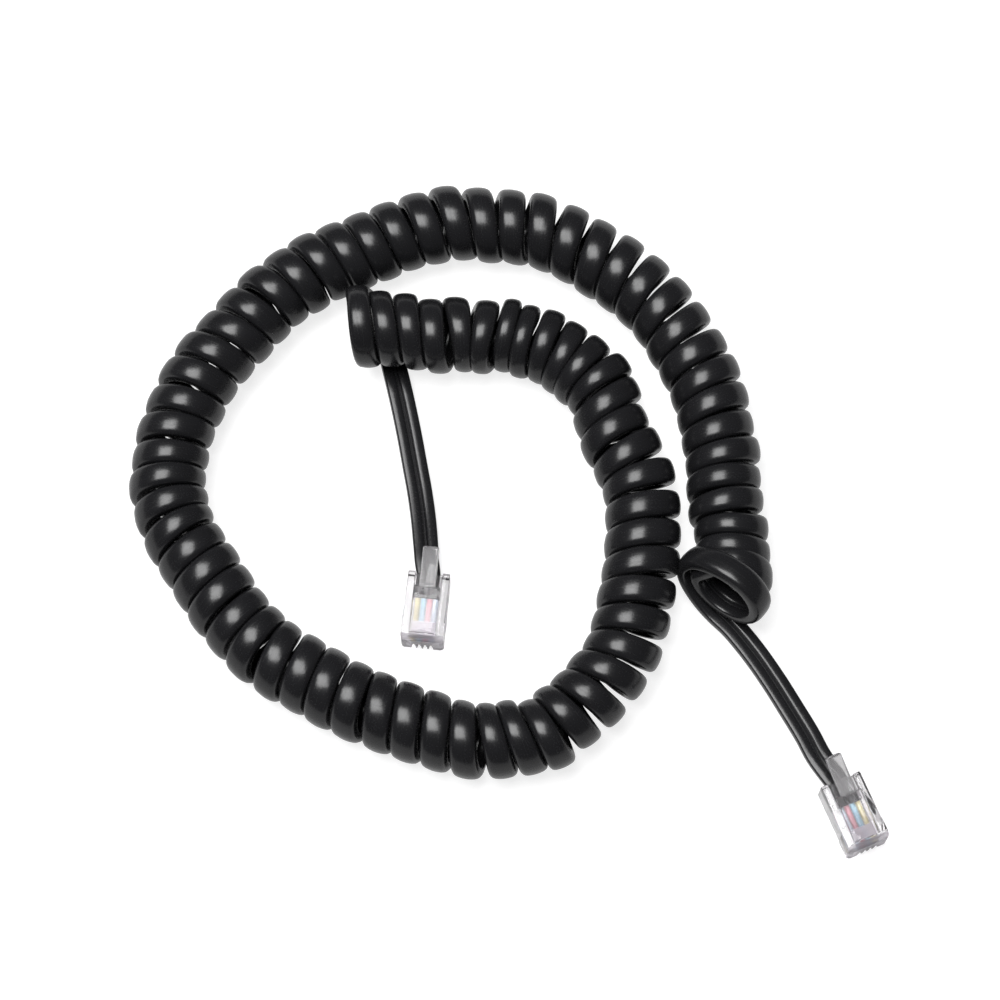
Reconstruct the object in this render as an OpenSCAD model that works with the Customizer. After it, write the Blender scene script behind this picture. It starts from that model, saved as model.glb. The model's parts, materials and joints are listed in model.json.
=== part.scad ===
// Coiled telephone handset cord with a four-way modular plug on each end.
// The cord lies flat on a surface in one open round; both plugs have their latch up.
// Millimetres, +Z up, origin under the middle of the bounding box.

/* [Cord] */
// Width of the flat cord
cord_w = 4.5; // [4.2:0.1:4.6]
// Thickness of the flat cord
cord_t = 2.4; // [2.0:0.1:2.4]
// Outer diameter of the coil
coil_od = 13.6; // [12.6:0.1:13.6]
// Sides of the tube that stands for the coil
coil_sides = 12; // [12:4:16]

/* [Plug body] */
// Length of the plug body, nose to cable mouth
plug_l = 12.6; // [12.4:0.1:13.0]
// Width of the plug body at the nose
plug_w = 7.65; // [7.6:0.05:7.8]
// Height of the plug body over its side rails
plug_h = 6.6; // [6.5:0.1:6.8]
// How much narrower each side is behind the nose
side_step = 0.12; // [0.05:0.01:0.2]
// Height of the cord's axis in the plug
wire_z = 3.0; // [2.9:0.05:3.1]

/* [Contacts and wires] */
// Pitch of the contacts
contact_pitch = 1.02; // [1.0:0.01:1.04]
// Thickness of a contact blade
contact_t = 0.3; // [0.25:0.05:0.3]
// Diameter of a wire over its insulation
wire_d = 0.9; // [0.8:0.05:0.95]
// Diameter of the tinsel core
core_d = 0.36; // [0.3:0.02:0.4]

/* [Latch] */
// Length of the latch arm from its root to its thumb end
latch_l = 15.5; // [14.5:0.1:15.8]
// Width of the thumb end
thumb_w = 2.9; // [2.8:0.1:3.3]
// Width of the arm between its shoulders and its root
shoulder_w = 4.6; // [4.4:0.1:4.6]
// Thickness of the arm
latch_t = 1.0; // [0.9:0.05:1.0]
// Angle of the released arm above the body
latch_rise = 13; // [12:0.5:14]

/* [Hidden] */
$fn = 48;
EPS = 0.05;      // how far a cut runs past a face
centring = [0.18, 0.122, 0];  // brings the middle of the bounding box to the origin

// the coil's axis, from its inner end round to its outer end, on the surface
coil_r = coil_od / 2;
coil_route = [
  [-28.5, 32.8, 9.4], [-18.5, 33, 9.3], [-6, 32.7, 7.6], [7, 30.8, 6.8], [14.6, 25.2, 6.8],
  [19.4, 16, 6.8], [23.7, 4, 6.8], [23.8, -11.5, 6.8], [20.4, -26.2, 6.8], [11, -37.4, 6.8],
  [-2.5, -42, 6.8], [-17, -38.6, 6.8], [-30.3, -33, 6.8], [-42.8, -24.8, 6.8], [-52.2, -13.3, 6.8],
  [-59.7, 0.5, 6.8], [-58.5, 16, 6.8], [-51.5, 29.5, 6.8], [-41, 41, 6.8], [-28, 48.7, 6.8],
  [-13.5, 53.7, 6.8], [2, 54, 6.8], [16, 48.3, 6.8], [28, 38.4, 6.8], [35.5, 24.8, 6.8],
  [38.7, 10, 6.8], [39, -4.5, 6.8], [38.8, -14, 6.8]
];
coil_rings = 52;

// each plug: where its cable mouth is on the surface, and the heading of its nose
plug_a = [-13.5, -11.2, 264];
plug_b = [58.1, -48.6, 293];

// the two straight tails; each runs from its plug to the coil
lead = 0.8;      // straight run out of the plug
tail_a_route = concat(mouth_points(plug_a), [
  [-14, -8.4, 2.8], [-14.3, -5, 2.3], [-14.8, 0, 1.7], [-15.5, 5, 1.35], [-16.4, 10, 1.25],
  [-17.3, 15, 1.25], [-18.3, 20, 1.25], [-19.4, 25, 1.25], [-20.6, 30, 1.25],
  [-21.9, 35, 1.6], [-23, 37.5, 3.8], [-24, 38.6, 6.5]
]);
tail_b_route = concat(mouth_points(plug_b), [
  [56.6, -46.9, 2.8], [54.8, -44, 2.4], [52.9, -39.8, 1.8], [50.2, -34.9, 1.35],
  [47.4, -30.1, 1.25], [44.2, -25.2, 1.25], [40.6, -20.5, 1.25], [36.6, -16.2, 1.7],
  [33.2, -12.8, 2.6]
]);
tail_rings = 18;
tail_edge = 0.7;  // chamfer along the flat cord's edges

// plug body, measured from the cable mouth towards the nose
rail_w = 1.4;            // side rails beside the latch
well_w = plug_w - 2 * rail_w;
hinge_u = 11.2;          // bending line of the latch
hinge_z = 5.6;
root_r = 0.65;           // round root of the latch
root_gap = 0.03;
nose_edge = 0.4;         // chamfers of the nose
nose_top = 1.1;
nose_round = 0.8;
step_u = 9;              // where the sides step out to the nose's full width
jacket_u = 4.4;          // end of the jacket inside the plug
jacket_gap = 0.1;
wires_u = 11.3;          // end of the wires
chamber_w = 4.3;         // cross-section of the wires' chamber
chamber_h = 1.0;
cord_clamp_u = 1.5;      // clamps: start and length along the plug
cord_clamp_l = 2;
wire_clamp_u = 6.2;
wire_clamp_l = 1.4;
clamp_sink = 0.4;        // how far the pressed clamps lie under the face
blade_u = 9.2;           // contact blades: rear and front edges, foot and top
blade_end = 12.1;
blade_z = 0.5;
blade_neck = 2.65;
blade_top = 3.25;
blade_round = 0.6;
tine_w = 0.8;            // piercing points
tine_tip = 0.35;
tine_end = 11.05;
blade_slot = 0.34;
comb_u = 10.6;           // wide mouths of the contact slots, between thin ribs
comb_slot = 0.7;
comb_z = 1.9;
shoulder_u = 8.4;        // latch shoulders, from the bending line
thumb_panel = 0.15;      // shallow bare panel on the thumb end
thumb_rim = 0.45;
thumb_edge = 0.25;       // chamfer across the thumb end

// ---- smooth route through hand-set points ----

function unit(v) = v / norm(v);
function near(p, i) =
  i < 0 ? 2 * p[0] - p[1] :
  i >= len(p) ? 2 * p[len(p) - 1] - p[len(p) - 2] : p[i];
function spline(a, b, c, d, t) =
  0.5 * (2 * b + (c - a) * t + (2 * a - 5 * b + 4 * c - d) * t * t
         + (3 * b - a - 3 * c + d) * t * t * t);
function slope(a, b, c, d, t) =
  0.5 * ((c - a) + 2 * (2 * a - 5 * b + 4 * c - d) * t + 3 * (3 * b - a - 3 * c + d) * t * t);
function span_of(p, u) = min(floor(u), len(p) - 2);
function point_at(p, u, low) =
  let (i = span_of(p, u), q = spline(near(p, i - 1), p[i], p[i + 1], near(p, i + 2), u - i))
  [q[0], q[1], max(q[2], low)];
function heading_at(p, u) =
  let (i = span_of(p, u)) unit(slope(near(p, i - 1), p[i], p[i + 1], near(p, i + 2), u - i));

// one ring of the section, square to the route, with its width level
function ring_at(p, u, section, low) =
  let (c = point_at(p, u, low), t = heading_at(p, u))
  let (side = unit(cross([0, 0, 1], t)), up = cross(t, side))
  [for (q = section) c + q[0] * side + q[1] * up];

// closed tube swept along a route, no lower than its own half height
module sweep(route, section, rings, low) {
  m = len(section);
  last = len(route) - 1;
  points = [for (k = [0 : rings]) each ring_at(route, k * last / rings, section, low)];
  walls = [
    for (k = [0 : rings - 1], j = [0 : m - 1])
      let (a = k * m + j, b = k * m + (j + 1) % m)
      each [[a, a + m, b + m], [a, b + m, b]]
  ];
  start_cap = [for (j = [0 : m - 1]) j];
  end_cap = [for (j = [m - 1 : -1 : 0]) rings * m + j];
  polyhedron(points, concat([start_cap], walls, [end_cap]), convexity = 6);
}

// ---- cord ----

function nose_dir(plug) = [cos(plug[2]), sin(plug[2]), 0];
function mouth_points(plug) =
  let (mouth = [plug[0], plug[1], wire_z]) [mouth, mouth - lead * nose_dir(plug)];

// flat cord section with chamfered edges
function flat_section(w, t, c) = [
  [w / 2, c - t / 2], [w / 2, t / 2 - c], [w / 2 - c, t / 2], [c - w / 2, t / 2],
  [-w / 2, t / 2 - c], [-w / 2, c - t / 2], [c - w / 2, -t / 2], [w / 2 - c, -t / 2]
];
function coil_section(r, n) =
  [for (j = [0 : n - 1]) r / cos(180 / n) * [cos((j + 0.5) * 360 / n), sin((j + 0.5) * 360 / n)]];

module coil_solid() {
  sweep(coil_route, coil_section(coil_r, coil_sides), coil_rings, coil_r);
}

// outer shape of the close-wound coil
module cord_coil() {
  color("#1c1c1e") translate(centring) coil_solid();
}

// flat tail, trimmed where it meets the coil
module cord_tail(route) {
  color("#202022")
    translate(centring) difference() {
      sweep(route, flat_section(cord_w, cord_t, tail_edge), tail_rings, cord_t / 2);
      coil_solid();
    }
}

// ---- plug, in its own frame: X to the nose, Z up to the latch ----

module in_plug(plug) {
  translate([plug[0], plug[1], 0] + centring) rotate([0, 0, plug[2]]) children();
}

// block centred across the plug
module slab(u0, u1, w, z0, z1) {
  translate([u0, -w / 2, z0]) cube([u1 - u0, w, z1 - z0]);
}

// outline drawn in length and height, extruded across the plug
module side_profile(w) {
  translate([0, w / 2, 0]) rotate([90, 0, 0]) linear_extrude(w) children();
}

function wire_v(i) = (i - 1.5) * contact_pitch;

// outer block of the body: stepped sides, rounded nose corners, chamfered nose
module body_block() {
  rear_w = plug_w - 2 * side_step;
  intersection() {
    linear_extrude(plug_h) {
      translate([0, -rear_w / 2]) square([plug_l - nose_round, rear_w]);
      translate([step_u, -plug_w / 2]) square([plug_l - nose_round - step_u, plug_w]);
      translate([step_u, nose_round - plug_w / 2])
        square([plug_l - step_u, plug_w - 2 * nose_round]);
      for (side = [-1, 1])
        translate([plug_l - nose_round, side * (plug_w / 2 - nose_round)]) circle(nose_round);
    }
    side_profile(plug_w) polygon([
      [0, nose_edge], [nose_edge, 0], [plug_l - nose_edge, 0], [plug_l, nose_edge],
      [plug_l, plug_h - nose_top], [plug_l - nose_top, plug_h], [nose_edge, plug_h],
      [0, plug_h - nose_edge]
    ]);
  }
}

// spaces inside the body for the cord, the wires and the two clamps
module body_cavities() {
  mouth_w = cord_w + 2 * jacket_gap;
  mouth_h = cord_t + 2 * jacket_gap;
  slab(-EPS, jacket_u, mouth_w, wire_z - mouth_h / 2, wire_z + mouth_h / 2);
  slab(jacket_u - EPS, wires_u + jacket_gap, chamber_w, wire_z - chamber_h / 2, wire_z + chamber_h / 2);
  slab(cord_clamp_u, cord_clamp_u + cord_clamp_l, mouth_w, -EPS, wire_z);
  slab(wire_clamp_u, wire_clamp_u + wire_clamp_l, chamber_w, -EPS, wire_z);
}

// slots for the contact blades, open at the foot and at the nose
module contact_slots() {
  for (i = [0 : 3]) translate([0, wire_v(i), 0]) {
    slab(blade_u - jacket_gap, plug_l + EPS, blade_slot, -EPS, blade_top + jacket_gap);
    slab(comb_u, plug_l + EPS, comb_slot, -EPS, comb_z);
  }
}

// well between the rails, with the round seat of the latch root
module latch_well() {
  floor_z = hinge_z - root_r - root_gap;
  slab(-EPS, hinge_u, well_w, floor_z, plug_h + EPS);
  translate([hinge_u, 0, hinge_z]) rotate([90, 0, 0])
    cylinder(r = root_r + root_gap, h = well_w, center = true);
}

// clear moulded body
module plug_body() {
  color("#dcdfe6", 0.4)
    difference() {
      body_block();
      body_cavities();
      contact_slots();
      latch_well();
    }
}

// arm of the latch seen from above, root at the origin and thumb end at -X
module latch_outline() {
  translate([-shoulder_u, -shoulder_w / 2]) square([shoulder_u + root_r, shoulder_w]);
  translate([-latch_l + thumb_rim, -thumb_w / 2]) square([latch_l - shoulder_u, thumb_w]);
  translate([-latch_l, thumb_rim - thumb_w / 2]) square([thumb_rim * 2, thumb_w - 2 * thumb_rim]);
  for (side = [-1, 1])
    translate([thumb_rim - latch_l, side * (thumb_w / 2 - thumb_rim)]) circle(thumb_rim);
}

// latch arm with its locking shoulders, a round root and a bare thumb panel
module latch_tab() {
  low = -latch_t / 2;
  color("#dcdfe6", 0.5)
    translate([hinge_u, 0, hinge_z]) rotate([0, latch_rise, 0]) difference() {
      union() {
        intersection() {
          translate([0, 0, low]) linear_extrude(latch_t) latch_outline();
          side_profile(shoulder_w) polygon([
            [-latch_l, low + thumb_edge], [-latch_l + thumb_edge, low], [0, low], [0, -low],
            [-latch_l + thumb_edge, -low], [-latch_l, -low - thumb_edge]
          ]);
        }
        rotate([90, 0, 0]) cylinder(r = root_r, h = shoulder_w, center = true);
      }
      slab(-latch_l + thumb_rim, -shoulder_u - thumb_rim, thumb_w - 2 * thumb_rim,
           latch_t / 2 - thumb_panel, latch_t);
    }
}

// end of the flat jacket, held in the plug
module jacket_end() {
  color("#202022")
    translate([0, 0, wire_z]) rotate([90, 0, 90]) linear_extrude(jacket_u)
      polygon(flat_section(cord_w, cord_t, tail_edge));
}

// tongue pressed up against the jacket
module cord_clamp() {
  color("#d4d8e0", 0.5)
    slab(cord_clamp_u + EPS, cord_clamp_u + cord_clamp_l - EPS, cord_w - 2 * tail_edge,
         clamp_sink, wire_z - cord_t / 2);
}

// tongue pressed up against the wires
module wire_clamp() {
  color("#d4d8e0", 0.5)
    slab(wire_clamp_u + EPS, wire_clamp_u + wire_clamp_l - EPS, chamber_w - 2 * jacket_gap,
         clamp_sink, wire_z - wire_d / 2);
}

// flat contact blade with a rounded wiping corner and two piercing points
module contact_blade(i) {
  corner = [blade_end - blade_round, blade_z + blade_round];
  color("#c9a14a") translate([0, wire_v(i), 0]) side_profile(contact_t) polygon(concat(
    [[blade_u, blade_z]],
    [for (turn = [-90 : 15 : 0]) corner + blade_round * [cos(turn), sin(turn)]],
    [[blade_end, blade_neck], [tine_end, blade_neck]],
    point_outline(tine_end - tine_w),
    [[blade_u + tine_w, blade_neck]],
    point_outline(blade_u)
  ));
}

// one piercing point, from its front edge to its rear edge
function point_outline(u) = [
  [u + tine_w, blade_top - tine_tip], [u + tine_w / 2, blade_top], [u, blade_top - tine_tip]
];

// insulated wire from the jacket to the nose, split where its blade pierces it
module wire(i, tint) {
  color(tint) difference() {
    translate([jacket_u, wire_v(i), wire_z]) rotate([0, 90, 0])
      cylinder(d = wire_d, h = wires_u - jacket_u);
    translate([jacket_u - EPS, wire_v(i), wire_z]) rotate([0, 90, 0])
      cylinder(d = core_d, h = wires_u - jacket_u + 2 * EPS, $fn = 24);
    translate([0, wire_v(i), 0])
      slab(blade_u, tine_end, contact_t, blade_z, blade_top);
  }
}

// tinsel core, from the jacket to its contact blade
module tinsel(i) {
  color("#b8763c")
    translate([jacket_u, wire_v(i), wire_z]) rotate([0, 90, 0])
      cylinder(d = core_d, h = blade_u - jacket_u, $fn = 24);
}

cord_coil();
cord_tail(tail_a_route);  // cord_tail_a
cord_tail(tail_b_route);  // cord_tail_b

in_plug(plug_a) plug_body();  // plug_body_a
in_plug(plug_a) latch_tab();  // latch_tab_a
in_plug(plug_a) jacket_end();  // jacket_end_a
in_plug(plug_a) cord_clamp();  // cord_clamp_a
in_plug(plug_a) wire_clamp();  // wire_clamp_a
in_plug(plug_a) contact_blade(0);  // contact_a1
in_plug(plug_a) contact_blade(1);  // contact_a2
in_plug(plug_a) contact_blade(2);  // contact_a3
in_plug(plug_a) contact_blade(3);  // contact_a4
in_plug(plug_a) wire(0, "#d8c65a");  // wire_a_yellow
in_plug(plug_a) wire(1, "#4f9fc4");  // wire_a_blue
in_plug(plug_a) wire(2, "#c8434a");  // wire_a_red
in_plug(plug_a) wire(3, "#e4e8ea");  // wire_a_white
in_plug(plug_a) tinsel(0);  // tinsel_a1
in_plug(plug_a) tinsel(1);  // tinsel_a2
in_plug(plug_a) tinsel(2);  // tinsel_a3
in_plug(plug_a) tinsel(3);  // tinsel_a4

in_plug(plug_b) plug_body();  // plug_body_b
in_plug(plug_b) latch_tab();  // latch_tab_b
in_plug(plug_b) jacket_end();  // jacket_end_b
in_plug(plug_b) cord_clamp();  // cord_clamp_b
in_plug(plug_b) wire_clamp();  // wire_clamp_b
in_plug(plug_b) contact_blade(0);  // contact_b1
in_plug(plug_b) contact_blade(1);  // contact_b2
in_plug(plug_b) contact_blade(2);  // contact_b3
in_plug(plug_b) contact_blade(3);  // contact_b4
in_plug(plug_b) wire(0, "#e4e8ea");  // wire_b_white
in_plug(plug_b) wire(1, "#c8434a");  // wire_b_red
in_plug(plug_b) wire(2, "#4f9fc4");  // wire_b_blue
in_plug(plug_b) wire(3, "#d8c65a");  // wire_b_yellow
in_plug(plug_b) tinsel(0);  // tinsel_b1
in_plug(plug_b) tinsel(1);  // tinsel_b2
in_plug(plug_b) tinsel(2);  // tinsel_b3
in_plug(plug_b) tinsel(3);  // tinsel_b4
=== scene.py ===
import json
import math
import random
import re
from bisect import bisect_right

import bmesh
import bpy
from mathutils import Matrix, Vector


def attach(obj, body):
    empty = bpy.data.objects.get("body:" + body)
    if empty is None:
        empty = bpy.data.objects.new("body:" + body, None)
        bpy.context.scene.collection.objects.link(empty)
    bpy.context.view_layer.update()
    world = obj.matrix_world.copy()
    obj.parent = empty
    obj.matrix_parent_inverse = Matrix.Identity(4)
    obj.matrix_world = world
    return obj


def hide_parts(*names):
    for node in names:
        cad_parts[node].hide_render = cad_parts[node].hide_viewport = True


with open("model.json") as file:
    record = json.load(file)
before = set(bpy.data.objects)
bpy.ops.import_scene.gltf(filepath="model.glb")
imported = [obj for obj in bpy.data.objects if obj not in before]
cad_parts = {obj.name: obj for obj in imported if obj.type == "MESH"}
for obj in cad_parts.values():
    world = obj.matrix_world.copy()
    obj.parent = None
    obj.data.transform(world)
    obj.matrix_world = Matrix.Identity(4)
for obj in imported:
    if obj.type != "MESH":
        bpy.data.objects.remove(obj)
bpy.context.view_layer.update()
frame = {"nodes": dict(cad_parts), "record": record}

mm = 0.001
up = Vector((0, 0, 1))
centring = Vector((0.18, 0.122, 0))      # from the layout's own origin to the middle of its box, in mm

cameraSettings = {
    "targetMm": (-0.82, 4.122, 0),
    "distanceMm": 600,
    "tiltDeg": 17,         # away from straight down, towards -Y
    "lensMm": 119.88,
    "sensorMm": 36,
}


def addObject(name, data):
    made = bpy.data.objects.new(name, data)
    bpy.context.scene.collection.objects.link(made)
    return made


def makeCamera():
    tilt = math.radians(cameraSettings["tiltDeg"])
    back = Vector((0, -math.sin(tilt), math.cos(tilt)))
    data = bpy.data.cameras.new("camera")
    data.lens = cameraSettings["lensMm"]
    data.sensor_width = cameraSettings["sensorMm"]
    camera = addObject("camera", data)
    camera.location = (Vector(cameraSettings["targetMm"]) + back * cameraSettings["distanceMm"]) * mm
    camera.rotation_mode = "QUATERNION"
    camera.rotation_quaternion = (-back).to_track_quat("-Z", "Y")
    bpy.context.scene.camera = camera
    print("camera made")


def linear(hexColour):
    # sRGB hex to linear
    out = []
    for i in (1, 3, 5):
        c = int(hexColour[i:i + 2], 16) / 255
        out.append(c / 12.92 if c <= 0.04045 else ((c + 0.055) / 1.055) ** 2.4)
    return (*out, 1)


def addNode(material, kind, links=None, **values):
    # a node with its settings, and links as {input: (node, output)}
    tree = material.node_tree
    node = tree.nodes.new(kind)
    for key, value in values.items():
        if key in node.inputs:
            node.inputs[key].default_value = value
        else:
            setattr(node, key, value)
    for key, (source, output) in (links or {}).items():
        tree.links.new(source.outputs[output], node.inputs[key])
    return node


def newMaterial(name):
    material = bpy.data.materials.new(name)
    material.use_nodes = True
    material.node_tree.nodes.clear()
    return material


pvcSettings = {
    "black": "#161617",
    "worn": "#1f1f21",        # where the skin has gone slightly grey
    "ior": 1.53,
    "specular": 0.32,
    "roughness": (0.19, 0.31),
    "grainMm": 0.35,          # matt speckle of the cooled skin, drawn coarser than it is so that it shows
    "drawLineMm": 0.45,       # lines that the die leaves along the cord
    "drawLineLengthMm": 14,
    "bumpMm": 0.012,
    "bumpStrength": 0.5,
    "grainShare": 0.6,        # grain against lines
    "patchMm": 5,
}


def extrudedFlexiblePvc():
    # extruded flexible PVC: deep black with a satin gloss that breaks into fine speckle and
    # faint lines along the cord
    s = pvcSettings
    m = newMaterial("extruded_flexible_pvc")
    strand = addNode(m, "ShaderNodeUVMap", uv_map="strand")       # mm along and around the cord
    lines = addNode(m, "ShaderNodeMapping", {"Vector": (strand, "UV")},
                    Scale=(1 / s["drawLineLengthMm"], 1 / s["drawLineMm"], 1))
    lineNoise = addNode(m, "ShaderNodeTexNoise", {"Vector": (lines, "Vector")}, Scale=1, Detail=2)
    grain = addNode(m, "ShaderNodeTexNoise", {"Vector": (strand, "UV")},
                    Scale=1 / s["grainMm"], Detail=3, Roughness=0.6)
    height = addNode(m, "ShaderNodeMix", {"A": (lineNoise, "Fac"), "B": (grain, "Fac")},
                     Factor=s["grainShare"])
    bump = addNode(m, "ShaderNodeBump", {"Height": (height, "Result")},
                   Strength=s["bumpStrength"], Distance=s["bumpMm"] * mm)
    patches = addNode(m, "ShaderNodeTexNoise", {"Vector": (strand, "UV")},
                      Scale=1 / s["patchMm"], Detail=4)
    colour = addNode(m, "ShaderNodeMix", {"Factor": (patches, "Fac")}, data_type="RGBA")
    colour.inputs[6].default_value = linear(s["black"])
    colour.inputs[7].default_value = linear(s["worn"])
    rough = addNode(m, "ShaderNodeMapRange", {"Value": (height, "Result")})
    rough.inputs["From Min"].default_value = 0.35
    rough.inputs["From Max"].default_value = 0.65
    rough.inputs["To Min"].default_value, rough.inputs["To Max"].default_value = s["roughness"]
    skin = addNode(m, "ShaderNodeBsdfPrincipled",
                   {"Roughness": (rough, "Result"), "Normal": (bump, "Normal")}, IOR=s["ior"])
    skin.inputs["Specular IOR Level"].default_value = s["specular"]
    m.node_tree.links.new(colour.outputs[2], skin.inputs["Base Color"])
    addNode(m, "ShaderNodeOutputMaterial", {"Surface": (skin, "BSDF")})
    return m


# clear mouldings: plain faces, the finely textured thumb ends and the more matt noses. "clear" is
# the share of light that passes through; the IOR is lower than the 1.58 of solid polycarbonate, so
# that faces close behind each other mirror less of the lamp
# "face" is the plastic's own faint tint; "edge" is painted grey shade for the darker reflections of walls
# seen edge on
clearSettings = {
    "body": {"face": "#f2f1f2", "edge": "#7a767b", "ior": 1.3, "roughness": 0.05, "clear": 0.97},
    "textured": {"face": "#d6d5d6", "edge": "#8e8b8f", "ior": 1.3, "roughness": 0.16, "clear": 0.8},
    "etched": {"face": "#bcb8be", "edge": "#918d94", "ior": 1.3, "roughness": 0.2, "clear": 0.62},
}
paintedEdgeShadeRange = (0.15, 0.7)        # from square on to edge on, where the painted grey edge shade sets in
ripple = {"acrossMm": 1.6, "depthMm": 0.04, "strength": 0.6}


def mouldedPolycarbonate(kind):
    # injection-moulded clear polycarbonate: clear on its faces, with painted grey shade where one looks
    # along a wall, slightly rippled; light passes to what lies under it
    s = clearSettings[kind]
    m = newMaterial(kind + "_moulded_polycarbonate")
    place = addNode(m, "ShaderNodeTexCoord")
    waves = addNode(m, "ShaderNodeTexNoise", {"Vector": (place, "Object")},
                    Scale=1 / (ripple["acrossMm"] * mm), Detail=2)
    bump = addNode(m, "ShaderNodeBump", {"Height": (waves, "Fac")}, Strength=ripple["strength"],
                   Distance=ripple["depthMm"] * mm)
    facing = addNode(m, "ShaderNodeLayerWeight", Blend=0.5)
    wall = addNode(m, "ShaderNodeMapRange", {"Value": (facing, "Facing")})
    wall.inputs["From Min"].default_value, wall.inputs["From Max"].default_value = paintedEdgeShadeRange
    # painted edge shade: the face tint turns grey as the surface turns edge on
    tintAndPaintedEdgeShade = addNode(m, "ShaderNodeMix", {"Factor": (wall, "Result")}, data_type="RGBA")
    tintAndPaintedEdgeShade.inputs[6].default_value = linear(s["face"])
    tintAndPaintedEdgeShade.inputs[7].default_value = linear(s["edge"])
    body = addNode(m, "ShaderNodeBsdfPrincipled", {"Normal": (bump, "Normal")}, IOR=s["ior"],
                   Roughness=s["roughness"])
    body.inputs["Transmission Weight"].default_value = s["clear"]
    m.node_tree.links.new(tintAndPaintedEdgeShade.outputs[2], body.inputs["Base Color"])
    through = addNode(m, "ShaderNodeBsdfTransparent", Color=linear(s["face"]))
    ray = addNode(m, "ShaderNodeLightPath")
    mix = addNode(m, "ShaderNodeMixShader", {"Fac": (ray, "Is Shadow Ray")})
    m.node_tree.links.new(body.outputs["BSDF"], mix.inputs[1])
    m.node_tree.links.new(through.outputs["BSDF"], mix.inputs[2])
    addNode(m, "ShaderNodeOutputMaterial", {"Surface": (mix, "Shader")})
    return m


insulationSettings = {"patchMm": 1.2, "darker": 0.85, "bumpMm": 0.02, "bumpStrength": 0.3, "ior": 1.5,
                      "roughness": 0.4}


def insulation(name, hexColour):
    # extruded wire insulation: the wire's own hue lightened towards white by painted glare of the clear
    # plug over it, low sheen, slightly darker in patches
    s = insulationSettings
    m = newMaterial(name + "_wire_insulation_with_painted_glare")
    place = addNode(m, "ShaderNodeTexCoord")
    cloud = addNode(m, "ShaderNodeTexNoise", {"Vector": (place, "Object")},
                    Scale=1 / (s["patchMm"] * mm))
    colour = addNode(m, "ShaderNodeMix", {"Factor": (cloud, "Fac")}, data_type="RGBA")
    glareWashedColour = linear(hexColour)
    colour.inputs[6].default_value = glareWashedColour
    colour.inputs[7].default_value = (*(c * s["darker"] for c in glareWashedColour[:3]), 1)
    bump = addNode(m, "ShaderNodeBump", {"Height": (cloud, "Fac")}, Strength=s["bumpStrength"],
                   Distance=s["bumpMm"] * mm)
    skin = addNode(m, "ShaderNodeBsdfPrincipled", {"Normal": (bump, "Normal")}, IOR=s["ior"],
                   Roughness=s["roughness"])
    m.node_tree.links.new(colour.outputs[2], skin.inputs["Base Color"])
    addNode(m, "ShaderNodeOutputMaterial", {"Surface": (skin, "BSDF")})
    return m


def metalFinish(name, hexLight, hexDark, roughness, grainMm):
    # plated or drawn metal of small parts: a soft gleam whose light tone breaks into its dark one
    m = newMaterial(name)
    place = addNode(m, "ShaderNodeTexCoord")
    grain = addNode(m, "ShaderNodeTexNoise", {"Vector": (place, "Object")}, Scale=1 / (grainMm * mm),
                    Detail=3)
    colour = addNode(m, "ShaderNodeMix", {"Factor": (grain, "Fac")}, data_type="RGBA")
    colour.inputs[6].default_value = linear(hexLight)
    colour.inputs[7].default_value = linear(hexDark)
    bump = addNode(m, "ShaderNodeBump", {"Height": (grain, "Fac")}, Strength=0.3, Distance=0.01 * mm)
    skin = addNode(m, "ShaderNodeBsdfPrincipled", {"Normal": (bump, "Normal")}, Metallic=1,
                   Roughness=roughness)
    m.node_tree.links.new(colour.outputs[2], skin.inputs["Base Color"])
    addNode(m, "ShaderNodeOutputMaterial", {"Surface": (skin, "BSDF")})
    return m


cordSettings = {
    "widthMm": 4.5,
    "coilWidthMm": 4.8,        # the winding spreads it a little
    "leastWidthMm": 3.3,       # where the neighbours crowd it most
    "clearanceMm": 0.03,       # between a turn and the next
    "thickMm": 2.4,
    "crownRadiusMm": 6,        # outer face
    "shoulderMm": 1.1,         # outer edges
    "cornerMm": 0.35,          # inner edges
    "lobePeakMm": 1.2,         # the two lobes of the inner face, from its middle
    "lobeRadiusMm": 3.3,
    "ribMm": 0.15,             # rib between the two fine grooves down the middle
    "grooveMm": 0.3,
    "grooveDepthMm": 0.14,
    "ringsPerTurn": 32,
    "strandRadiusMm": 5.6,     # middle of the cord from the coil's axis
    "lengthM": 2.91,
}

# the coil's axis, from its inner end round to its outer end
coilRoute = [
    (-28.5, 32.8, 9.4), (-18.5, 33, 9.3), (-6, 32.7, 7.6), (7, 30.8, 6.8), (14.6, 25.2, 6.8),
    (19.4, 16, 6.8), (23.7, 4, 6.8), (23.8, -11.5, 6.8), (20.4, -26.2, 6.8), (11, -37.4, 6.8),
    (-2.5, -42, 6.8), (-17, -38.6, 6.8), (-30.3, -33, 6.8), (-42.8, -24.8, 6.8), (-52.2, -13.3, 6.8),
    (-59.7, 0.5, 6.8), (-58.5, 16, 6.8), (-51.5, 29.5, 6.8), (-41, 41, 6.8), (-28, 48.7, 6.8),
    (-13.5, 53.7, 6.8), (2, 54, 6.8), (16, 48.3, 6.8), (28, 38.4, 6.8), (35.5, 24.8, 6.8),
    (38.7, 10, 6.8), (39, -4.5, 6.8), (38.8, -14, 6.8),
]
# where the turns bunch and spread: (turn, mm along the axis at its top)
turnMarks = [
    (0, 2.6), (1, 6.7), (2, 11.3), (3, 15.6), (4, 20.3), (5, 24.7), (6, 28.9), (7, 32), (8, 36),
    (9, 40), (10, 44), (12, 52.5), (18, 83.5), (22, 104.5), (24, 115), (27, 128.5), (33, 159),
    (39, 189), (42, 203.5), (45, 217.5), (51, 249), (57, 279.5), (63, 312), (69, 344), (72, 358.5),
    (74, 367.5), (76, 376.2), (77, 380.2),
]
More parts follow.
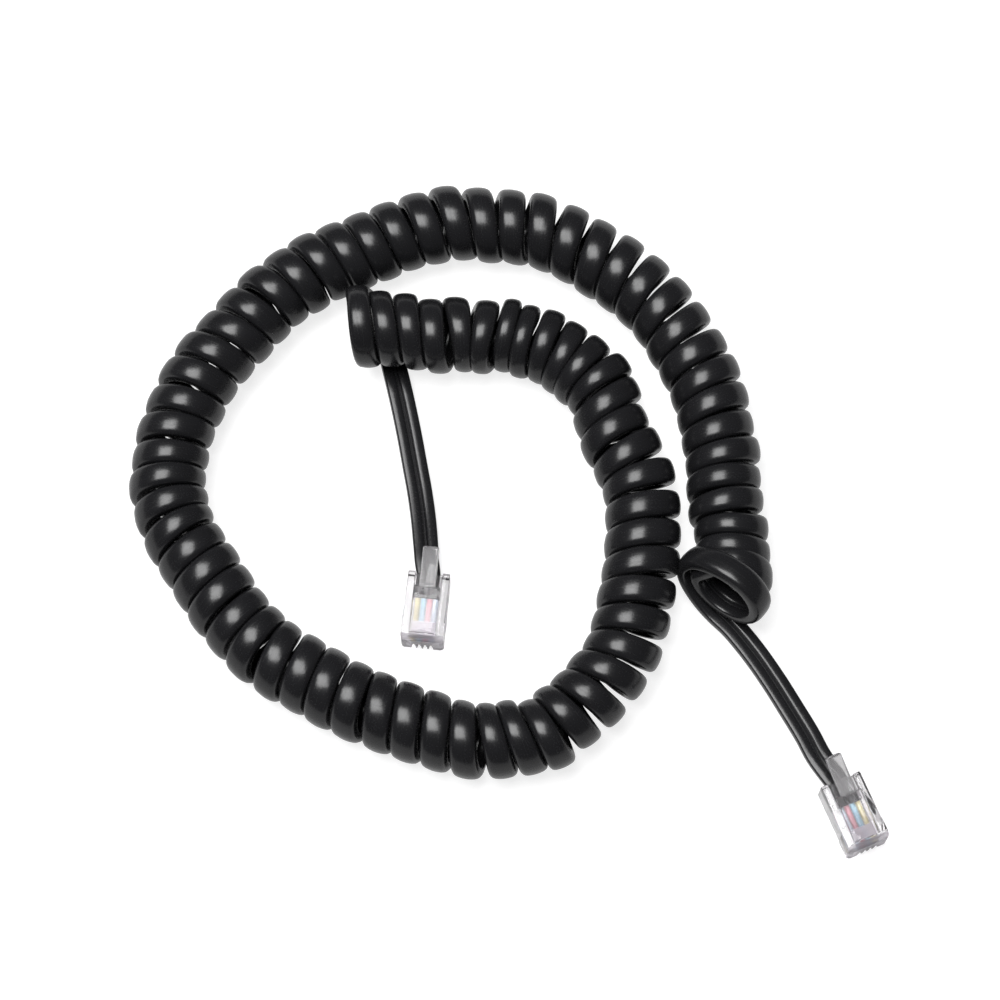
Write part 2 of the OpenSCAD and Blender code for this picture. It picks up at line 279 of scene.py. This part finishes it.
# turns that stand out of line, in mm to the left of the coil's heading
strayTurns = {0: 1.0, 3: -0.9, 6: 0.9, 11: 0.9, 13: -0.7, 25: 1.1, 58: 0.6, 67: -0.4, 75: 1.1,
              76: 1.2, 77: 1.6}
# turns that lean along the coil, in mm: at their sides, and from bottom to top
leaningTurns = {5: (1.3, 0), 6: (1.2, 0), 7: (1.1, 0), 8: (0.6, 0), 75: (0.8, 0), 76: (1, -0.6),
                77: (1.2, -1.4), 78: (1.2, -1.4)}
# how far any other turn strays, leans and swells, in mm
unevenness = {"seed": 11, "strayMm": 0.3, "leanMm": (0.3, 0.22), "swellMm": (-0.12, 0.1)}

# each plug: cable mouth on the surface, heading of its nose
plugs = {
    "a": {"mouthMm": (-13.5, -11.2), "headingDeg": 264},
    "b": {"mouthMm": (58.1, -48.6), "headingDeg": 293},
}
gripSettings = {
    "heightMm": 3.0,       # middle of the cord in the plug's mouth
    "leadMm": 0.3,         # straight run in front of the mouth
    "asideMm": 0.2,        # how far the cord lies to one side of the plug's middle
    "pressedMm": 4.25,     # width of the cord where its plug grips it
    "insideMm": 4.4,
    "releasedAt": (6, 11),  # rings from the end over which it takes its full width again
}
tailRoutes = {
    "a": [(-14.05, -8.2, 2.75), (-14.3, -5, 2.3), (-14.8, 0, 1.7), (-15.5, 5, 1.35), (-16.4, 10, 1.25),
          (-17.3, 15, 1.25), (-18.3, 20, 1.25), (-19.4, 25, 1.25), (-20.6, 30, 1.25), (-21.9, 35, 1.6)],
    "b": [(54.85, -43.9, 2.4), (52.9, -39.8, 1.8), (50.2, -34.9, 1.35),
          (47.4, -30.1, 1.25), (44.2, -25.2, 1.25), (40.6, -20.5, 1.25), (38, -17.9, 1.35)],
}
tailRollDeg = 8        # how far the flat cord leans over on the surface
rollsOverMm = 14       # the stretch from the plug's mouth over which it does so
ringStepMm = 0.9

# the last turn: an oval ring that stands on its own tail, turned away from the rest
lastTurn = {
    "centreMm": (39.5, -14.9, 9.2),
    "acrossMm": 6.5,            # half its width and half its height, at the middle of the cord
    "tallMm": 5.7,
    "turnedDeg": 37,
    "tiltDeg": 13,
    "joins": (77.05, 77.35),    # where it leaves the coil's own line
    "opens": (77.9, 1.0),       # where it starts to widen towards the tail, and how fast
    "leaves": 78.24,
    "loose": 76.7,              # from here the turns lie over each other
}
firstTurn = {"radiusMm": 6.3, "starts": -0.2, "settled": 1.3}
joinPulls = {"a": (14, 9, 16), "b": (16, 14, 20)}      # between tail and coil: two pulls, rings


def arcPoints(centre, radius, fromDeg, toDeg, count):
    out = []
    for i in range(count):
        a = math.radians(fromDeg + (toDeg - fromDeg) * i / (count - 1))
        out.append((centre[0] + radius * math.cos(a), centre[1] + radius * math.sin(a)))
    return out


def cordSection():
    # round the section from the middle of the inner face (width, height), in mm
    s = cordSettings
    half, thick = s["widthMm"] / 2, s["thickMm"] / 2
    lobeZ = s["lobeRadiusMm"] - thick
    inner = math.degrees(math.asin((s["lobePeakMm"] - s["grooveMm"] * 1.4) / s["lobeRadiusMm"]))
    edge = half - s["cornerMm"]
    outer = math.degrees(math.asin((edge - s["lobePeakMm"]) / (s["lobeRadiusMm"] - s["cornerMm"])))
    lobe = arcPoints((s["lobePeakMm"], lobeZ), s["lobeRadiusMm"], 270 - inner, 270 + outer, 6)
    cornerZ = lobeZ - (s["lobeRadiusMm"] - s["cornerMm"]) * math.cos(math.radians(outer))
    corner = arcPoints((edge, cornerZ), s["cornerMm"], 270 + outer, 360, 4)[1:]
    run = half - s["shoulderMm"]
    rise = math.sqrt((s["crownRadiusMm"] - s["shoulderMm"]) ** 2 - run ** 2)
    crownZ = thick - s["crownRadiusMm"]
    meet = math.degrees(math.atan2(rise, run))
    shoulder = arcPoints((run, crownZ + rise), s["shoulderMm"], 0, meet, 5)
    crown = arcPoints((0, crownZ), s["crownRadiusMm"], meet, 90, 5)[1:]
    floor = lobe[0][1]
    middle = [(0, floor), (s["ribMm"], floor), (s["grooveMm"], floor + s["grooveDepthMm"])]
    right = middle + lobe + corner + shoulder + crown
    return right + [(-w, h) for w, h in right[-2:0:-1]]


def splinePoint(points, u):
    # smooth curve through given points, and its direction
    i = min(int(u), len(points) - 2)
    t = u - i
    b, c = points[i], points[i + 1]
    a = points[i - 1] if i > 0 else 2 * b - c
    d = points[i + 2] if i + 2 < len(points) else 2 * c - b
    bend, swing = 2 * a - 5 * b + 4 * c - d, 3 * b - a - 3 * c + d
    point = 0.5 * (2 * b + (c - a) * t + bend * t * t + swing * t ** 3)
    slope = 0.5 * ((c - a) + 2 * bend * t + 3 * swing * t * t)
    return point, slope.normalized()


def measuredRoute(points, perSpan=40):
    # the curve as (distance along it, point, direction)
    out, run, last = [], 0, None
    for k in range((len(points) - 1) * perSpan + 1):
        p, d = splinePoint(points, k / perSpan)
        run += (p - last).length if last else 0
        last = p
        out.append((run, p, d))
    return out


def along(route, distance):
    keys = [r[0] for r in route]
    i = min(max(bisect_right(keys, distance) - 1, 0), len(route) - 2)
    span = route[i + 1][0] - route[i][0]
    t = (distance - route[i][0]) / span
    return route[i][1].lerp(route[i + 1][1], t), route[i][2].lerp(route[i + 1][2], t).normalized()


def smoothStep(a, b, x):
    t = min(max((x - a) / (b - a), 0), 1)
    return t * t * (3 - 2 * t)


def markAt(turn):
    # smooth spacing of the turns through their marks
    m = turnMarks
    i = min(max(bisect_right([q for q, _ in m], turn) - 1, 0), len(m) - 2)

    def rate(j):
        lo, hi = m[max(j - 1, 0)], m[min(j + 1, len(m) - 1)]
        return (hi[1] - lo[1]) / (hi[0] - lo[0])

    (q0, s0), (q1, s1) = m[i], m[i + 1]
    w = q1 - q0
    t = (turn - q0) / w
    return ((2 * t ** 3 - 3 * t * t + 1) * s0 + (t ** 3 - 2 * t * t + t) * w * rate(i)
            + (3 * t * t - 2 * t ** 3) * s1 + (t ** 3 - t * t) * w * rate(i + 1))


def mouthOf(key, inward=0, aside=0):
    # point on the cord's axis at a plug's cable mouth, or further into the plug
    plug = plugs[key]
    a = math.radians(plug["headingDeg"])
    nose, side = Vector((math.cos(a), math.sin(a), 0)), Vector((-math.sin(a), math.cos(a), 0))
    mouth = Vector((*plug["mouthMm"], gripSettings["heightMm"]))
    return mouth + nose * inward + side * aside


def rolled(direction, degrees):
    # upright across a stretch that lies on the surface, leaned over by its roll
    side = up.cross(direction).normalized()
    level = direction.cross(side)
    a = math.radians(degrees)
    return -(level * math.cos(a) - side * math.sin(a))


def tailRings(key):
    # from inside the plug to the coil: [point, outward]
    s = gripSettings
    route = [mouthOf(key, inward, -s["asideMm"])
             for inward in (s["insideMm"], s["insideMm"] / 2, 0, -s["leadMm"])]
    route += [Vector(p) for p in tailRoutes[key]]
    spread = measuredRoute(route)
    total = spread[-1][0]
    count = round(total / ringStepMm)
    rings = []
    for i in range(count + 1):
        d = total * i / count
        p, t = along(spread, d)
        roll = tailRollDeg * smoothStep(s["insideMm"] + s["leadMm"], s["insideMm"] + rollsOverMm, d)
        rings.append([p, rolled(t, roll)])
    return rings


def bridge(a, b, startPull, endPull, count):
    # smooth stretch between two rings, with its outer face turning evenly
    (p0, d0, o0), (p1, d1, o1) = a, b
    out = []
    for i in range(1, count):
        t = i / count
        p = ((2 * t ** 3 - 3 * t * t + 1) * p0 + (t ** 3 - 2 * t * t + t) * startPull * d0
             + (3 * t * t - 2 * t ** 3) * p1 + (t ** 3 - t * t) * endPull * d1)
        out.append([p, o0.slerp(o1, t)])
    return out


def coilRings():
    s = cordSettings
    route = measuredRoute([Vector(p) for p in coilRoute])
    rng = random.Random(unevenness["seed"])
    strays, (sideways, upright) = unevenness["strayMm"], unevenness["leanMm"]
    turns = range(-1, 80)
    stray = {k: strayTurns.get(k, rng.uniform(-strays, strays)) for k in turns}
    lean = {k: (rng.uniform(-sideways, sideways), rng.uniform(-upright, upright)) for k in turns}
    swell = {k: rng.uniform(*unevenness["swellMm"]) for k in turns}
    lean.update(leaningTurns)
    axis = Vector((-math.sin(math.radians(lastTurn["turnedDeg"])),
                   -math.cos(math.radians(lastTurn["turnedDeg"])), 0))
    axis = (axis + up * math.tan(math.radians(lastTurn["tiltDeg"]))).normalized()
    ringSide = up.cross(axis).normalized()
    ringUp = axis.cross(ringSide)
    rings = []
    first = round(firstTurn["starts"] * s["ringsPerTurn"])
    final = round(lastTurn["leaves"] * s["ringsPerTurn"])
    opens, rate = lastTurn["opens"]
    for i in range(first, final + 1):
        turn = i / s["ringsPerTurn"]
        k, f = math.floor(turn), smoothStep(0, 1, turn - math.floor(turn))
        a = math.radians(90 + 360 * turn)
        out = stray[k] * (1 - f) + stray[k + 1] * f
        leanA = lean[k][0] * (1 - f) + lean[k + 1][0] * f
        leanB = lean[k][1] * (1 - f) + lean[k + 1][1] * f
        r = s["strandRadiusMm"] + swell[k] * (1 - f) + swell[k + 1] * f
        r += (firstTurn["radiusMm"] - r) * (1 - smoothStep(0, firstTurn["settled"], turn))
        station = markAt(turn) + leanA * math.cos(a) + leanB * math.sin(a)
        c, t = along(route, station)
        n = up.cross(t).normalized()
        c = c + n * out
        c.z = max(c.z, r + s["thickMm"] / 2)
        e = n * math.cos(a) + up * math.sin(a)
        point = c + e * r
        w = smoothStep(*lastTurn["joins"], turn)
        if w > 0:
            wide = lastTurn["acrossMm"] * (1 + rate * max(turn - opens, 0))
            oval = ringSide * (wide * math.cos(a)) + ringUp * (lastTurn["tallMm"] * math.sin(a))
            point = point.lerp(Vector(lastTurn["centreMm"]) + oval, w)
            face = ringSide * (lastTurn["tallMm"] * math.cos(a)) + ringUp * (wide * math.sin(a))
            e = e.slerp(face.normalized(), w)
        rings.append([point, e])
    return rings


def directions(points):
    n = len(points)
    return [(points[min(i + 1, n - 1)] - points[max(i - 1, 0)]).normalized() for i in range(n)]


def cordRings():
    tailA, tailB, coil = tailRings("a"), tailRings("b"), coilRings()
    tailB.reverse()
    dirA = directions([r[0] for r in tailA])
    dirC = directions([r[0] for r in coil])
    dirB = directions([r[0] for r in tailB])
    joinA = bridge((tailA[-1][0], dirA[-1], tailA[-1][1]), (coil[0][0], dirC[0], coil[0][1]),
                   *joinPulls["a"])
    joinB = bridge((coil[-1][0], dirC[-1], coil[-1][1]), (tailB[0][0], dirB[0], tailB[0][1]),
                   *joinPulls["b"])
    rings = tailA + joinA + coil + joinB + tailB
    first = len(tailA) + len(joinA)
    return rings, first, first + len(coil)


def cordWidths(rings, across, first, last, loose):
    # close turns press together, so a strand is never wider than the room between its neighbours
    s = cordSettings
    turn = s["ringsPerTurn"]
    widths = []
    for i in range(len(rings)):
        width = s["widthMm"]
        if first <= i < last:
            width = s["coilWidthMm"]
            for j in (i - turn, i + turn):
                if first <= j < loose and i < loose:
                    offset = rings[j][0] - rings[i][0]
                    if abs(offset.dot(rings[i][1])) < s["thickMm"] * 0.7:
                        room = abs(offset.dot(across[i])) - s["clearanceMm"]
                        width = min(width, max(room, s["leastWidthMm"]))
        end = min(i, len(rings) - 1 - i)
        gripped = 1 - smoothStep(*gripSettings["releasedAt"], end)
        widths.append(width - (s["widthMm"] - gripSettings["pressedMm"]) * gripped)
    return [sum(widths[max(i - 4, 0):i + 5]) / len(widths[max(i - 4, 0):i + 5])
            for i in range(len(widths))]


def makeCord(material):
    rings, first, last = cordRings()
    centres = [r[0] + centring for r in rings]
    headings = directions(centres)
    outward = [(o - t * o.dot(t)).normalized() for (_, o), t in zip(rings, headings)]
    across = [t.cross(o) for t, o in zip(headings, outward)]
    loose = first + round((lastTurn["loose"] - firstTurn["starts"]) * cordSettings["ringsPerTurn"])
    widths = cordWidths(rings, across, first, last, loose)
    section = cordSection()
    m = len(section)
    around = [0]
    for a, b in zip(section, section[1:] + section[:1]):
        around.append(around[-1] + math.dist(a, b))
    work = bmesh.new()
    strand = work.loops.layers.uv.new("strand")
    loops = []
    for c, o, w, width in zip(centres, outward, across, widths):
        scale = width / cordSettings["widthMm"]
        loops.append([work.verts.new((c + w * (x * scale) + o * h) * mm) for x, h in section])
    run = 0
    for i in range(len(loops) - 1):
        step = (centres[i + 1] - centres[i]).length
        for j in range(m):
            k = (j + 1) % m
            face = work.faces.new((loops[i][j], loops[i][k], loops[i + 1][k], loops[i + 1][j]))
            face.smooth = True
            for corner, u, v in zip(face.loops, (run, run, run + step, run + step),
                                    (around[j], around[j + 1], around[j + 1], around[j])):
                corner[strand].uv = (u, v)
        run += step
    for cap in (loops[0][::-1], loops[-1]):
        work.faces.new(cap)
    bmesh.ops.recalc_face_normals(work, faces=work.faces)
    mesh = bpy.data.meshes.new("handset_cord")
    work.to_mesh(mesh)
    work.free()
    mesh.set_sharp_from_angle(angle=math.radians(40))
    mesh.materials.append(material)
    cord = addObject("handset_cord", mesh)
    print("cord made, length", round(run * mm, 3), "m, rings", len(loops))
    return cord, [c * mm for c in centres]


mouldSettings = {
    "edgeMm": 0.14,        # round that the mould leaves on every edge
    "edgeSteps": 2,
    "flatDeg": 2,          # faces that meet at less are one face
    "weldMm": 0.002,
    "sharpDeg": 40,
    "shadeDeg": 50,
}
# gaps moulded into the body over the wires: (from, to) along the plug, and height, in mm
bodyGaps = [(6.3, 6.48, 0.9), (6.85, 7.03, 0.9), (7.3, 7.48, 0.9), (7.72, 7.9, 0.9),
            (8.1, 8.32, 1), (8.5, 8.76, 1.1)]
gapZ = 4.2             # middle of the gaps
insetWidthMm = 4.1     # of the gaps and the nose block
noseBlock = {"along": (8.95, 11.1), "z": (4.86, 4.98)}      # low plate on the floor of the latch's well
noseFaceMm = 12        # along the plug; the matt nose lies past this
thumbEndsMm = 3.2      # the thumb end lies behind this
plainFinish, thumbFinish, noseFinish = range(3)


def plugPoint(key, u, v, z):
    # u from the cable mouth to the nose, v across, z up
    a = math.radians(plugs[key]["headingDeg"])
    nose, side = Vector((math.cos(a), math.sin(a), 0)), Vector((-math.sin(a), math.cos(a), 0))
    return Vector((*plugs[key]["mouthMm"], z)) + centring + nose * u + side * v


def addBlock(work, key, u, z, finish=plainFinish, hollow=False):
    # closed block, or a gap in the plastic, between pairs of plug coordinates
    v = (-insetWidthMm / 2, insetWidthMm / 2)
    corner = [[[work.verts.new(plugPoint(key, a, b, c) * mm) for c in z] for b in v] for a in u]
    (p, q), (r, t) = corner
    faces = [(p[0], p[1], q[1], q[0]), (r[0], t[0], t[1], r[1]), (p[0], r[0], r[1], p[1]),
             (q[0], q[1], t[1], t[0]), (p[0], q[0], t[0], r[0]), (p[1], r[1], t[1], q[1])]
    made = [work.faces.new(f) for f in faces]
    for face in made:
        face.material_index = finish
    bmesh.ops.recalc_face_normals(work, faces=made)
    if hollow:
        bmesh.ops.reverse_faces(work, faces=made)


def mouldedPiece(nodeName, materials, body):
    # the same solid with the softened edges of a moulding
    s = mouldSettings
    work = bmesh.new()
    work.from_mesh(frame["nodes"][nodeName].data)
    bmesh.ops.remove_doubles(work, verts=work.verts, dist=s["weldMm"] * mm)
    bmesh.ops.dissolve_limit(work, angle_limit=math.radians(s["flatDeg"]), verts=work.verts,
                             edges=work.edges)
    bmesh.ops.recalc_face_normals(work, faces=work.faces)
    key = nodeName[-1]
    root = plugPoint(key, 0, 0, 0)
    nose = plugPoint(key, 1, 0, 0) - root
    if nodeName.startswith("latch_tab"):
        bmesh.ops.bisect_plane(work, geom=work.verts[:] + work.edges[:] + work.faces[:],
                               dist=s["weldMm"] / 2 * mm, plane_no=nose,
                               plane_co=plugPoint(key, thumbEndsMm, 0, 0) * mm)
    sharp = [e for e in work.edges if e.is_manifold and e.calc_face_angle() > math.radians(s["sharpDeg"])
             and e.calc_length() > 4 * s["edgeMm"] * mm]
    bmesh.ops.bevel(work, geom=sharp, offset=s["edgeMm"] * mm, offset_type="OFFSET",
                    segments=s["edgeSteps"], profile=0.5, affect="EDGES", clamp_overlap=False)
    for face in work.faces:
        u = (face.calc_center_median() / mm - root).dot(nose)
        if nodeName.startswith("latch_tab") and u < thumbEndsMm:
            face.material_index = thumbFinish
        elif nodeName.startswith("plug_body") and u > noseFaceMm:
            face.material_index = noseFinish
        else:
            face.material_index = plainFinish
    if nodeName.startswith("plug_body"):
        for start, end, height in bodyGaps:
            addBlock(work, key, (start, end), (gapZ - height / 2, gapZ + height / 2), hollow=True)
        addBlock(work, key, noseBlock["along"], noseBlock["z"], finish=noseFinish)
    mesh = bpy.data.meshes.new(nodeName + "_moulded")
    work.to_mesh(mesh)
    work.free()
    mesh.shade_smooth()
    mesh.set_sharp_from_angle(angle=math.radians(s["shadeDeg"]))
    piece = addObject(nodeName + "_moulded", mesh)
    for material in materials:
        mesh.materials.append(material)
    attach(piece, body)
    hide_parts(nodeName)
    return piece


stageSettings = {
    "floorM": 6,
    "floorBelowMm": 0.05,
    "floorWhite": "#f4f4f4",       # as the part is lit by it
    "floorShade": 0.35,            # as it is seen: a diffuse share that takes the shadow
    "floorGlow": 0.8,              # and a plain share
    "floorGlowInGloss": 0.45,
    "horizon": (0.02, 0.08),       # from white to dark, as the sine of the height above the floor
    "dark": (0.05, 0.05, 0.055, 1),
    "softboxM": 0.62,              # square softbox nearly overhead
    "softboxAwayM": 1.0,
    "softboxLeanDeg": (-14, 6),
    "softboxRadiance": 12,
}


def makeFloor():
    s = stageSettings
    m = newMaterial("white_sweep")
    paper = addNode(m, "ShaderNodeBsdfDiffuse", Color=(*[s["floorShade"]] * 3, 1))
    lit = addNode(m, "ShaderNodeBsdfDiffuse", Color=linear(s["floorWhite"]))
    ray = addNode(m, "ShaderNodeLightPath")
    level = addNode(m, "ShaderNodeMapRange", {"Value": (ray, "Is Glossy Ray")})
    level.inputs["To Min"].default_value = s["floorGlow"]
    level.inputs["To Max"].default_value = s["floorGlowInGloss"]
    glow = addNode(m, "ShaderNodeEmission", {"Strength": (level, "Result")})
    both = addNode(m, "ShaderNodeAddShader")
    m.node_tree.links.new(paper.outputs[0], both.inputs[0])
    m.node_tree.links.new(glow.outputs[0], both.inputs[1])
    seen = addNode(m, "ShaderNodeMath", {0: (ray, "Is Camera Ray"), 1: (ray, "Is Glossy Ray")},
                   operation="MAXIMUM")
    seenToo = addNode(m, "ShaderNodeMath", {0: (seen, 0), 1: (ray, "Is Transmission Ray")},
                      operation="MAXIMUM")
    mix = addNode(m, "ShaderNodeMixShader", {0: (seenToo, 0)})
    m.node_tree.links.new(lit.outputs[0], mix.inputs[1])
    m.node_tree.links.new(both.outputs[0], mix.inputs[2])
    addNode(m, "ShaderNodeOutputMaterial", {"Surface": (mix, 0)})
    half = s["floorM"] / 2
    mesh = bpy.data.meshes.new("floor")
    z = -s["floorBelowMm"] * mm
    mesh.from_pydata([(-half, -half, z), (half, -half, z), (half, half, z), (-half, half, z)], [],
                     [(0, 1, 2, 3)])
    mesh.materials.append(m)
    addObject("floor", mesh)
    print("floor made")


def makeWorld():
    s = stageSettings
    world = bpy.data.worlds.new("studio")
    world.use_nodes = True
    bpy.context.scene.world = world
    world.node_tree.nodes.clear()
    place = addNode(world, "ShaderNodeTexCoord")
    parts = addNode(world, "ShaderNodeSeparateXYZ", {"Vector": (place, "Generated")})
    ramp = addNode(world, "ShaderNodeValToRGB", {"Fac": (parts, "Z")})
    low, high = ramp.color_ramp.elements
    low.position, high.position = s["horizon"]
    low.color = (1, 1, 1, 1)
    high.color = s["dark"]
    ray = addNode(world, "ShaderNodeLightPath")
    shade = addNode(world, "ShaderNodeMix", {"Factor": (ray, "Is Camera Ray")}, data_type="RGBA")
    world.node_tree.links.new(ramp.outputs["Color"], shade.inputs[6])
    shade.inputs[7].default_value = (1, 1, 1, 1)
    sky = addNode(world, "ShaderNodeBackground", Strength=1)
    world.node_tree.links.new(shade.outputs[2], sky.inputs["Color"])
    addNode(world, "ShaderNodeOutputWorld", {"Surface": (sky, 0)})
    print("world made")


def makeSoftbox():
    s = stageSettings
    x, y = (math.tan(math.radians(a)) for a in s["softboxLeanDeg"])
    direction = Vector((x, y, 1)).normalized()
    data = bpy.data.lights.new("softbox", "AREA")
    data.shape = "SQUARE"
    data.size = s["softboxM"]
    data.energy = s["softboxRadiance"] * math.pi * s["softboxM"] ** 2
    lamp = addObject("softbox", data)
    lamp.location = direction * s["softboxAwayM"]
    lamp.rotation_mode = "QUATERNION"
    lamp.rotation_quaternion = up.rotation_difference(direction)
    print("softbox made")


makeCamera()
pvc = extrudedFlexiblePvc()
cord, cordPath = makeCord(pvc)
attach(cord, "cord")
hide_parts("cord_tail_a", "cord_coil", "cord_tail_b", "jacket_end_a", "jacket_end_b")

clear, textured, etched = (mouldedPolycarbonate(kind) for kind in clearSettings)
finishes = {       # metals: light tone, dark tone, roughness, grain in mm
    "gold_contacts": metalFinish("gold_flashed_phosphor_bronze", "#a8906c", "#6a5844", 0.32, 0.4),
    "copper_tinsel": metalFinish("tinsel_copper", "#c98a5c", "#8a5a3c", 0.35, 0.2),
    # wire colours: each wire's own hue, lightened by painted glare of the clear plug
    "yellow_insulation": insulation("yellow", "#d9d29f"),
    "blue_insulation": insulation("blue", "#a4cedd"),
    "red_insulation": insulation("red", "#d99fa7"),
    "white_insulation": insulation("white", "#cddde6"),
    "clear_polycarbonate": clear,
    "black_pvc": pvc,
}
slotOf = {part["node"]: part["material_slot"] for part in frame["record"]["subparts"]}
for name, node in frame["nodes"].items():
    node.data.materials.clear()
    node.data.materials.append(finishes[slotOf[name]])

moulded = {}
for name, body in (("plug_body_a", "cord"), ("latch_tab_a", "latch_a"), ("plug_body_b", "cord"),
                   ("latch_tab_b", "latch_b"), ("cord_clamp_a", "cord"), ("cord_clamp_b", "cord"),
                   ("wire_clamp_a", "cord"), ("wire_clamp_b", "cord")):
    moulded[name] = mouldedPiece(name, (clear, textured, etched), body)
print("moulded pieces made:", len(moulded))

plugB = [moulded.get(name, node) for name, node in frame["nodes"].items()
         if slotOf[name] != "black_pvc" and re.search(r"_b(\d|_|$)", name)]
print("plug pieces on the far end:", [p.name for p in plugB])

makeFloor()
makeWorld()
makeSoftbox()
bpy.context.scene.view_settings.view_transform = "Standard"
